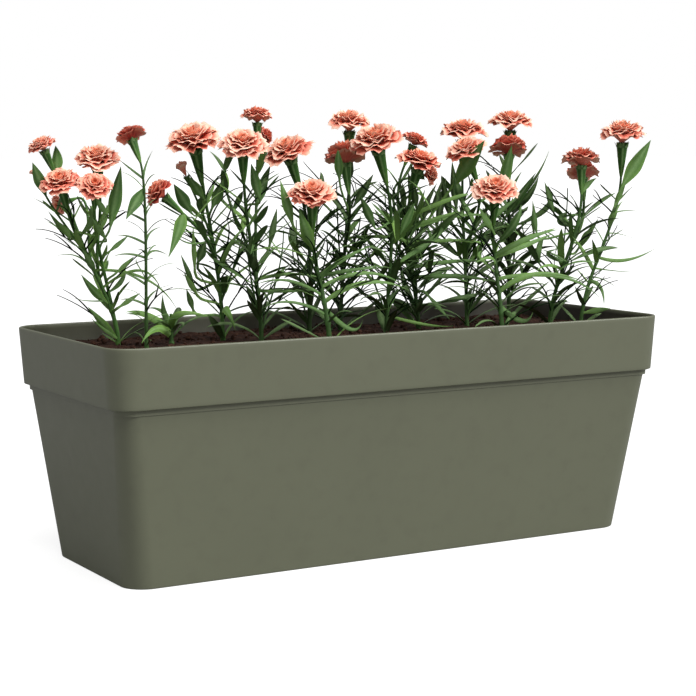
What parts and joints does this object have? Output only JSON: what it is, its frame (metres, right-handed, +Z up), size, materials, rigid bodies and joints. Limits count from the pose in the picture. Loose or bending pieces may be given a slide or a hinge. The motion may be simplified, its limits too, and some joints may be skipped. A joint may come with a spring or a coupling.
{
  "type": "planted window box",
  "caption": "Tapered rectangular plastic window box with a deep rim, filled with soil and planted with a row of tall double carnations in bloom.",
  "frame": {"origin": "middle of the trough's flat base, on the surface it stands on", "axes": "+Z up; +X along the trough's length; -Y is the long side that faces the viewer"},
  "size_m": [0.6532, 0.2535, 0.4298],
  "materials": {
    "planter_plastic": "satin",
    "potting_soil": "matte",
    "foliage": "satin",
    "petals": "matte"
  },
  "bodies": {
    "root": {"bloom_01_1": "petals", "bloom_01_2": "petals", "bloom_01_3": "petals", "bloom_01_4": "petals", "bloom_01_5": "petals", "bloom_01_6": "petals", "bloom_02_1": "petals", "bloom_03_1": "petals", "bloom_03_2": "petals", "bloom_03_3": "petals", "bloom_04_1": "petals", "bloom_04_2": "petals", "bloom_04_3": "petals", "bloom_05_1": "petals", "bloom_06_1": "petals", "bloom_07_1": "petals", "bloom_08_1": "petals", "bloom_08_2": "petals", "bloom_09_1": "petals", "bloom_09_2": "petals", "bloom_09_3": "petals", "bloom_10_1": "petals", "bloom_10_2": "petals", "bloom_11_1": "petals", "bloom_11_2": "petals", "bloom_12_1": "petals", "bloom_13_1": "petals", "bloom_13_2": "petals", "bloom_14_1": "petals", "carnation_01": "foliage", "carnation_02": "foliage", "carnation_03": "foliage", "carnation_04": "foliage", "carnation_05": "foliage", "carnation_06": "foliage", "carnation_07": "foliage", "carnation_08": "foliage", "carnation_09": "foliage", "carnation_10": "foliage", "carnation_11": "foliage", "carnation_12": "foliage", "carnation_13": "foliage", "carnation_14": "foliage", "leaf_tuft_15": "foliage", "planter_box": "planter_plastic", "soil": "potting_soil"}
  },
  "joints": []
}
